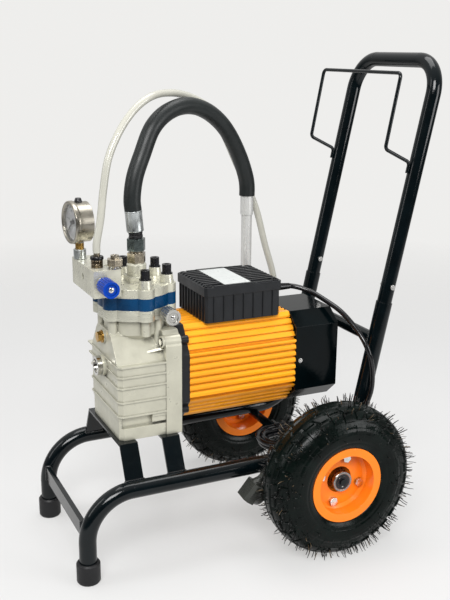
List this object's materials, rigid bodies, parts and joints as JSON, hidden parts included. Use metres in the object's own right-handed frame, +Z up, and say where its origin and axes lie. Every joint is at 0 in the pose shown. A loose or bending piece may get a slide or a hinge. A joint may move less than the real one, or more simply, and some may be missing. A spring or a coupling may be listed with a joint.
{
  "type": "airless paint sprayer",
  "caption": "Airless paint sprayer: an electric diaphragm pump with gauge, knobs and hoses on a two-wheeled tube cart with a leaning handle and hose hook.",
  "frame": {"origin": "on the floor, under the middle of the part's length and width", "axes": "+X from the front feet back to the handle, +Y to the side with the gauge and the suction pipe, +Z up"},
  "size_m": [0.6516, 0.463, 0.812],
  "materials": {
    "frame_paint": "smooth black powder coat",
    "foot_rubber": "matt black rubber",
    "axle_steel": "drawn bar",
    "spring_steel": "black spring steel",
    "zinc": "bright zinc plate",
    "tyre_rubber": "black rubber with moulding hairs",
    "rim_orange": "gloss orange paint on pressed steel",
    "bearing_steel": "ground steel",
    "motor_orange": "satin orange paint on cast aluminium",
    "core_steel": "laminated steel",
    "plate_black": "satin black paint on cast aluminium",
    "shaft_steel": "ground steel",
    "fan_plastic": "moulded black plastic",
    "box_plastic": "textured black moulding",
    "rocker_red": "glossy moulding",
    "gear_case_silver": "silver-grey paint on rough casting",
    "brass": "turned brass",
    "chrome_trim": "polished plate",
    "cast_alloy": "machined and cast aluminium",
    "diaphragm_rubber": "moulded rubber",
    "plate_blue": "dark blue anodised aluminium",
    "head_nickel": "nickel-plated steel",
    "black_steel": "black oxide",
    "knob_blue": "blue anodised",
    "knob_alloy": "turned aluminium",
    "needle_black": "black paint",
    "hose_rubber": "smooth black hose",
    "pipe_steel": "zinc-plated tube",
    "return_plastic": "milky soft plastic",
    "cord_rubber": "matt black sheath",
    "plug_plastic": "moulded dark grey"
  },
  "bodies": {
    "cart": {"side_tube_left": "frame_paint", "side_tube_right": "frame_paint", "foot_caps": "foot_rubber", "front_brace": "frame_paint", "cross_tube": "frame_paint", "pump_saddles": "frame_paint", "axle": "axle_steel", "axle_clips": "spring_steel", "handle": "frame_paint", "handle_bolts": "zinc", "hose_hook": "frame_paint", "motor_housing": "motor_orange", "stator_core": "core_steel", "motor_front_plate": "plate_black", "motor_rear_plate": "plate_black", "motor_bearings": "bearing_steel", "fan_cover": "plate_black", "case_screws": "zinc", "box_base": "box_plastic", "box_lid": "box_plastic", "cable_gland": "box_plastic", "gear_housing": "gear_case_silver", "oil_plug": "brass", "sight_glass": "chrome_trim", "hydraulic_flange": "cast_alloy", "diaphragm": "diaphragm_rubber", "pump_plate": "plate_blue", "upper_head": "head_nickel", "head_bolts": "black_steel", "head_fittings": "brass", "pressure_valve": "black_steel", "gauge_stem": "brass", "gauge_case": "chrome_trim", "hose_coupling": "chrome_trim", "suction_hose": "hose_rubber", "suction_pipe": "pipe_steel", "return_hose": "return_plastic", "power_cord": "cord_rubber", "cord_coil": "cord_rubber", "plug_lead": "cord_rubber", "plug": "plug_plastic"},
    "wheel_left": {"tyre_left": "tyre_rubber", "rim_left": "rim_orange", "wheel_hub_left": "rim_orange", "rim_bolts_left": "zinc", "wheel_bearings_left": "bearing_steel"},
    "wheel_right": {"tyre_right": "tyre_rubber", "rim_right": "rim_orange", "wheel_hub_right": "rim_orange", "rim_bolts_right": "zinc", "wheel_bearings_right": "bearing_steel"},
    "rotor": {"motor_shaft": "shaft_steel", "rotor_core": "core_steel", "fan": "fan_plastic", "eccentric": "shaft_steel"},
    "plunger": {"piston": "shaft_steel"},
    "prime_valve": {"prime_knob": "knob_blue"},
    "pressure_control": {"pressure_knob": "knob_alloy"},
    "needle": {"gauge_needle": "needle_black"},
    "rocker": {"switch_rocker": "rocker_red"}
  },
  "joints": [
    {"name": "wheel_left_spin", "type": "hinge", "parent": "cart", "child": "wheel_left", "pos_m": [0.10121, -0.19, 0.13], "axis": [0, 1, 0], "continuous": true},
    {"name": "wheel_right_spin", "type": "hinge", "parent": "cart", "child": "wheel_right", "pos_m": [0.10121, 0.19, 0.13], "axis": [0, 1, 0], "continuous": true},
    {"name": "rotor_spin", "type": "hinge", "parent": "cart", "child": "rotor", "pos_m": [0.00121, 0, 0.301], "axis": [1, 0, 0], "continuous": true},
    {"name": "plunger_slide", "type": "slide", "parent": "cart", "child": "plunger", "axis": [0, 0, 1], "range_m": [0, 0.006]},
    {"name": "prime_turn", "type": "hinge", "parent": "cart", "child": "prime_valve", "pos_m": [-0.25179, -0.07, 0.466], "axis": [0, -1, 0], "range_deg": [0, 270]},
    {"name": "pressure_turn", "type": "hinge", "parent": "cart", "child": "pressure_control", "pos_m": [-0.14879, -0.07, 0.4085], "axis": [0, -1, 0], "range_deg": [0, 330]},
    {"name": "needle_sweep", "type": "hinge", "parent": "cart", "child": "needle", "pos_m": [-0.25779, 0.04, 0.546], "axis": [0.9962, 0.0872, 0], "range_deg": [0, 270]},
    {"name": "rocker_tilt", "type": "hinge", "parent": "cart", "child": "rocker", "pos_m": [-0.00879, 0.055, 0.403], "axis": [1, 0, 0], "range_deg": [-24, 0]}
  ]
}
